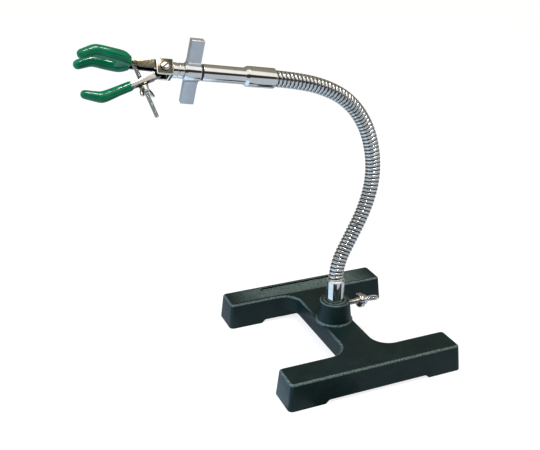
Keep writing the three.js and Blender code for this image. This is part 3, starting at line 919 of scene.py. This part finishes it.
def stem():
    """Tail, thick neck and spigot, along the head's +X."""
    shoulder = NUT_END + 0.3 - PIVOT_DISTANCE
    back = -BLOCK_SIZE / 2
    body = turned("stem_neck", [
        (0, shoulder - 18), (STEM_TAIL_RADIUS, shoulder - 18, 0.5), (STEM_TAIL_RADIUS, shoulder),
        (STEM_RADIUS, shoulder, 0.8), (STEM_RADIUS, shoulder + 4.4, 0.4),
        (STEM_RADIUS - 0.7, shoulder + 5, 0.2), (STEM_RADIUS - 0.7, shoulder + 5.8, 0.2),
        (STEM_RADIUS, shoulder + 6.4, 0.4), (STEM_RADIUS, back, 0.5), (0, back),
    ], 64)
    body.data.transform(turn(90, "Y"))
    place(body, HEAD, "clamp_head", chrome, "chrome", "clamp_stem")


# ---- clamp head ----------------------------------------------------------------------------------


def clamp_block():
    half = BLOCK_SIZE / 2
    thick = BLOCK_THICKNESS / 2
    body = block("slotted_block", -half, half, -half, half, -thick, thick)
    slot = block("slot", SLOT_START, half + 1, -half - 1, half + 1, -SLOT_HEIGHT / 2, SLOT_HEIGHT / 2)
    cut(body, slot)
    bevel(body, 0.8, 4, 40)
    mark_polish_and_light(body)
    place(body, HEAD, "clamp_head", nickel, "nickel_plate", "clamp_block")


def pivot_screw():
    thick = BLOCK_THICKNESS / 2
    head = turned("pivot_screw_head", [
        (0, thick + 0.05), (4.2, thick + 0.05, 0.2), (4.2, thick + 1.4, 0.5),
        (2.6, thick + 2.4, 1), (0, thick + 2.4),
    ], 48)
    cut(head, block("driver_slot", -6, 6, -0.6, 0.6, thick + 1.3, thick + 4))
    head.data.transform(turn(HEAD_TURN, "Z"))
    shank = rod("pivot_shank", PIVOT_RADIUS, -thick - 4.6, thick + 0.1, 32)
    join(head, shank)
    mark_polish_and_light(head, flats=1.0, shade_within=thick + 1.4)
    place(head, HEAD, "clamp_head", nickel, "nickel_plate", "pivot_screw")
    nut = rod("pivot_hex_nut", 4, -thick - 3.8, -thick - 0.05, 6)
    bevel(nut, 0.4, 2, 40)
    cut(nut, rod("nut_hole", PIVOT_RADIUS + 0.05, -thick - 6, -thick + 1, 32))
    place(nut, HEAD, "clamp_head", nickel, "nickel_plate", "pivot_nut")


def channel(name, start, end, inner, outer, taper):
    """Two flanges and a web, open towards `inner`."""
    half = CHANNEL_HEIGHT / 2
    side = math.copysign(1, outer - inner)
    outline = [(start, inner), (end, inner + side * taper), (end, outer - side * taper), (start, outer)]
    body = plate(name, outline, -half, half)
    web = outer - side * (FLANGE + taper / 2)
    low, high = sorted((inner - side * 9, web))
    return cut(body, block("hollow", start - 1, end + 1, low, high, -half + FLANGE, half - FLANGE))


def fixed_jaw():
    half = CHANNEL_HEIGHT / 2
    arm = channel("fixed_jaw_arm", 8.4, 30.8, 1.1, -7.1, 0.7)
    ears = []
    for side in (-1, 1):
        near, far = sorted((side * half, side * (half - FLANGE)))
        ears.append(plate("ear", rounded([
            (-3.6, -3.2, 1), (0, -4.2, 1), (9, -7.1), (9, 1.1), (3.4, 3.4, 1), (-1, 3.6, 1), (-3.6, 1.6, 1),
        ]), near, far))
    join(arm, *ears)
    cut(arm, rod("pivot_hole", PIVOT_RADIUS + 0.1, -9, 9, 32))
    bevel(arm, 0.5, 3, 40)
    mark_polish_and_light(arm)
    place(arm, HEAD, "clamp_head", nickel, "nickel_plate", "fixed_jaw")


def moving_jaw():
    half = CHANNEL_HEIGHT / 2
    arm = channel("moving_jaw_arm", 11.5, 37, 1.8, 5.9, 0.3)
    tongue = plate("tongue", rounded([
        (-3, -2.6, 1), (1, -3.4, 1), (8, -0.6, 1), (13, 1.9),
        (13, 5.9), (6, 5.6, 1), (-2, 3, 1), (-3.4, 1, 1),
    ]), -TONGUE_HALF, TONGUE_HALF)
    closing = block("closing", 11.5, 13.2, 1.9, 5.8, -half, half)
    join(arm, tongue, closing)
    reach = STUD_RADIUS + 0.5
    slot = plate("slot", rounded([(17.5, -reach, reach), (31.5, -reach, reach), (31.5, reach, reach),
                                  (17.5, reach, reach)], 6), -8, 8)
    slot.data.transform(turn(90, "X"))
    cut(arm, slot, rod("pivot_hole", PIVOT_RADIUS + 0.1, -9, 9, 32))
    bevel(arm, 0.5, 3, 40)
    mark_polish_and_light(arm, flats=0.4, shade_within=half - FLANGE + 0.1)
    place(arm, MOVING, "moving_jaw", nickel, "nickel_plate", "moving_jaw")


def fixed_prong(level):
    """Centre line of one prong; `level` is its side of the middle plane."""
    return [
        (29.5, -3, level * 2.4), (33, -3.2, level * 5.5), (38, -4.2, level * (PRONG_SPREAD - 1)),
        (47, -5.6, level * PRONG_SPREAD), (57, -7.3, level * PRONG_SPREAD), (61.5, -7.4, level * PRONG_SPREAD),
        (65.5, -6, level * PRONG_SPREAD), (72.6, -2.9, level * PRONG_SPREAD),
    ]


def fixed_grip():
    coat = tube("fixed_grip_coat", fixed_prong(1), PRONG_RADII)
    other = tube("prong", fixed_prong(-1), PRONG_RADII)
    web = plate("web", rounded([
        (28.6, -4.2, 1), (34, -7.5, 3), (46, -9), (42.5, -4, 4),
        (42.5, 4, 4), (46, 9), (34, 7.5, 3), (28.6, 4.2, 1),
    ]), 1.2, 7.4)
    bevel(web, 2, 5, 40)
    web.data.transform(turn(90, "X"))
    join(coat, other, web)
    cut(coat, block("behind", 10, 29.6, -20, 20, -20, 20))
    fuse(coat, COAT_VOXEL, 16)
    place(coat, HEAD, "clamp_head", vinyl, "grip_vinyl", "fixed_jaw_grip", sharp=80)


def moving_grip():
    coat = tube("moving_grip_coat", MOVING_FINGER, FINGER_RADII)
    cut(coat, block("behind", 20, 34.5, -9, 20, -9, 9))
    fuse(coat, COAT_VOXEL, 6)
    place(coat, MOVING, "moving_jaw", vinyl, "grip_vinyl", "moving_jaw_grip", sharp=80)


def adjusting_stud():
    along_y = turn(-90, "X")
    shank = thread("stud_thread", STUD_RADIUS, 0.28, 0.7, 1, STUD_LENGTH - 0.2)
    shank.data.transform(along_y)
    eye = rod("stud_eye", STUD_EYE_RADIUS, -2.1, 2.1, 32)
    join(shank, eye)
    cut(shank, rod("eye_hole", 1.6, -5, 5, 24))
    mark_polish_and_light(shank, flats=0.4, rounds=0.4)
    place(shank, STUD, "adjusting_stud", nickel, "nickel_plate", "adjusting_stud", sharp=50)
    half = CHANNEL_HEIGHT / 2
    rivet = turned("stud_rivet", [
        (0, -half - 0.9), (1.6, -half - 0.9, 0.4), (2.2, -half - 0.05, 0.2), (1.5, -half), (1.5, half),
        (2.5, half + 0.05, 0.2), (1.8, half + 1, 0.5), (0, half + 1),
    ], 32)
    place(rivet, STUD, "clamp_head", nickel, "nickel_plate", "stud_pin")
    washer = turned("washer_ring", [
        (4.4, seat, 0.2), (4.4, seat + 1, 0.2), (STUD_RADIUS + 0.2, seat + 1), (STUD_RADIUS + 0.2, seat),
    ], 48, ring=True)
    washer.data.transform(along_y)
    place(washer, STUD, "stud_washer", nickel, "nickel_plate", "stud_washer")


def wing_nut():
    foot = seat + 1.3
    hub = turned("wing_nut_body", [
        (0, foot), (4.2, foot, 0.3), (3.6, foot + 4.2, 0.6), (3, foot + 5.2, 0.4), (0, foot + 5.2),
    ], 48)
    wings = []
    for side in (1, -1):
        wing = plate("wing", rounded([
            (1.6, foot + 0.8), (4.4, foot + 1, 1.4), (8.2, foot + 5, 3), (9.4, foot + 8.8, 1.6),
            (8.2, foot + 10.6, 1.6), (6, foot + 9.6, 1.6), (4.2, foot + 5.8, 2), (1.6, foot + 4.6),
        ], 6), -1.2, 1.2)
        bevel(wing, 0.5, 3, 40)
        wing.data.transform(turn(90, "X"))
        if side < 0:
            wing.data.transform(turn(180, "Z"))
        wings.append(wing)
    join(hub, *wings)
    cut(hub, rod("nut_hole", STUD_RADIUS + 0.1, foot - 2, foot + 20, 32))
    mark_polish_and_light(hub)
    hub.data.transform(turn(-90, "X"))
    place(hub, WING, "wing_nut", nickel, "nickel_plate", "wing_nut")


# ---- stage ---------------------------------------------------------------------------------------


def camera():
    data = bpy.data.cameras.new("camera")
    data.lens = 50.82
    data.sensor_width = 36
    obj = bpy.data.objects.new("camera", data)
    forward = Vector((0.3527, 0.8479, -0.3957)).normalized()
    right = Vector((0.9240, -0.3823, 0.0043)).normalized()
    up = right.cross(forward)
    facing = Matrix((right, up, -forward)).transposed().to_4x4()
    obj.matrix_world = Matrix.Translation((-0.2729, -0.6588, 0.4629)) @ facing
    bpy.context.scene.collection.objects.link(obj)
    bpy.context.scene.camera = obj


def floor():
    size = 6
    corners = [(-size, -size, 0), (size, -size, 0), (size, size, 0), (-size, size, 0)]
    obj = mesh_object("floor", corners, [[0, 1, 2, 3]])
    obj.data.transform(Matrix.Translation((0, 0, -0.0002)))  # a hair below the feet
    obj.data.materials.append(backdrop_material())


def softbox(name, place_at, target, size, energy, colour, in_reflections=True):
    data = bpy.data.lights.new(name, "AREA")
    data.energy = energy
    data.color = colour
    data.shape = "RECTANGLE"
    data.size, data.size_y = size
    obj = bpy.data.objects.new(name, data)
    obj.location = place_at
    obj.rotation_mode = "QUATERNION"
    obj.rotation_quaternion = (Vector(target) - Vector(place_at)).to_track_quat("-Z", "Y")
    obj.visible_glossy = in_reflections
    bpy.context.scene.collection.objects.link(obj)


def card(name, material, near, far, left, right):
    """A card on the floor round the hub, between two reaches and two bearings in degrees.

    The camera, diffuse light and shadows pass it by.
    """
    steps = 8
    bearings = [left + (right - left) * k / steps for k in range(steps + 1)]
    rim = [(near, bearing) for bearing in bearings] + [(far, bearing) for bearing in bearings[::-1]]
    points = [
        (hub_x + reach * math.cos(math.radians(bearing)), reach * math.sin(math.radians(bearing)), 0.0006)
        for reach, bearing in rim
    ]
    obj = mesh_object(name, points, [[k, k + 1, 2 * steps - k, 2 * steps - k + 1] for k in range(steps)])
    obj.data.materials.append(material)
    obj.visible_camera = obj.visible_diffuse = obj.visible_shadow = False


def sky_material():
    r = Recipe("sky_card")
    r.tree.nodes.remove(r.shader)
    glow = r.add("ShaderNodeEmission")
    glow.inputs["Color"].default_value = (0.62, 0.82, 1.0, 1)
    glow.inputs["Strength"].default_value = 1.25
    r.link(glow.outputs[0], r.tree.nodes["Material Output"].inputs["Surface"])
    return r.material


FRONT = (0.384, 0.923)  # from the camera towards the stand, over the floor


def room():
    """A white backdrop for the camera.

    Everything else sees bands round the room: pale floor light from below, then, going up from the camera's
    side and over, a dark front, a white lamp, a tan roof and a dark back.
    """
    world = bpy.data.worlds.new("room")
    world.use_nodes = True
    bpy.context.scene.world = world
    tree = world.node_tree
    nodes, links = tree.nodes, tree.links
    nodes.clear()

    def calculate(operation, a, b):
        node = nodes.new("ShaderNodeMath")
        node.operation = operation
        for socket, value in zip(node.inputs, (a, b)):
            if isinstance(value, (int, float)):
                socket.default_value = value
            else:
                links.new(value, socket)
        return node.outputs[0]

    split = nodes.new("ShaderNodeSeparateXYZ")
    links.new(nodes.new("ShaderNodeTexCoord").outputs["Generated"], split.inputs[0])
    x, y, z = split.outputs
    away = calculate("ADD", calculate("MULTIPLY", x, FRONT[0]), calculate("MULTIPLY", y, FRONT[1]))
    around = calculate("ARCTAN2", z, calculate("MULTIPLY", away, -1))
    share = calculate("ADD", calculate("DIVIDE", around, 2 * math.pi), 0.5)
    ramp = nodes.new("ShaderNodeValToRGB")
    bands = [
        (0.0, (0.06, 0.045, 0.035)), (0.02, BOUNCE), (0.48, BOUNCE),
        (0.50, (0.04, 0.03, 0.02)), (0.59, (0.04, 0.03, 0.015)), (0.62, (0.97, 0.98, 0.97)),
        (0.735, (0.97, 0.96, 0.93)), (0.77, (0.30, 0.27, 0.21)), (0.92, (0.26, 0.23, 0.17)),
        (0.96, (0.06, 0.045, 0.035)),
    ]
    elements = ramp.color_ramp.elements
    while len(elements) < len(bands):
        elements.new(0.5)
    for element, (position, colour) in zip(elements, bands):
        element.position = position
        element.color = (*colour, 1)
    links.new(share, ramp.inputs["Fac"])
    seen = nodes.new("ShaderNodeBackground")
    seen.inputs["Color"].default_value = (1, 1, 1, 1)
    lit = nodes.new("ShaderNodeBackground")
    lit.inputs["Strength"].default_value = 1.15
    links.new(ramp.outputs["Color"], lit.inputs["Color"])
    mix = nodes.new("ShaderNodeMixShader")
    links.new(nodes.new("ShaderNodeLightPath").outputs["Is Camera Ray"], mix.inputs["Fac"])
    links.new(lit.outputs[0], mix.inputs[1])
    links.new(seen.outputs[0], mix.inputs[2])
    links.new(mix.outputs[0], nodes.new("ShaderNodeOutputWorld").inputs["Surface"])


camera()
floor()
room()
card("dark_card", rubber, 0.11, 0.19, -124, -98)
card("sky_card", sky_material(), 0.105, 0.65, -215, -138)
softbox("key", (0.2, -0.42, 1.7), (0, 0, 0.15), (0.3, 0.24), 11, (1.0, 0.98, 0.95))
softbox("sky", (-1.3, -0.1, 0.6), (0, 0, 0.1), (0.8, 0.8), 18, (0.35, 0.62, 1.0), in_reflections=False)
bpy.context.scene.view_settings.view_transform = "Standard"

base_casting()
thumb_screw()
lower_ferrule()
gooseneck()
upper_ferrule()
socket()
tee_nut()
stem()
clamp_block()
pivot_screw()
fixed_jaw()
fixed_grip()
moving_jaw()
moving_grip()
adjusting_stud()
wing_nut()
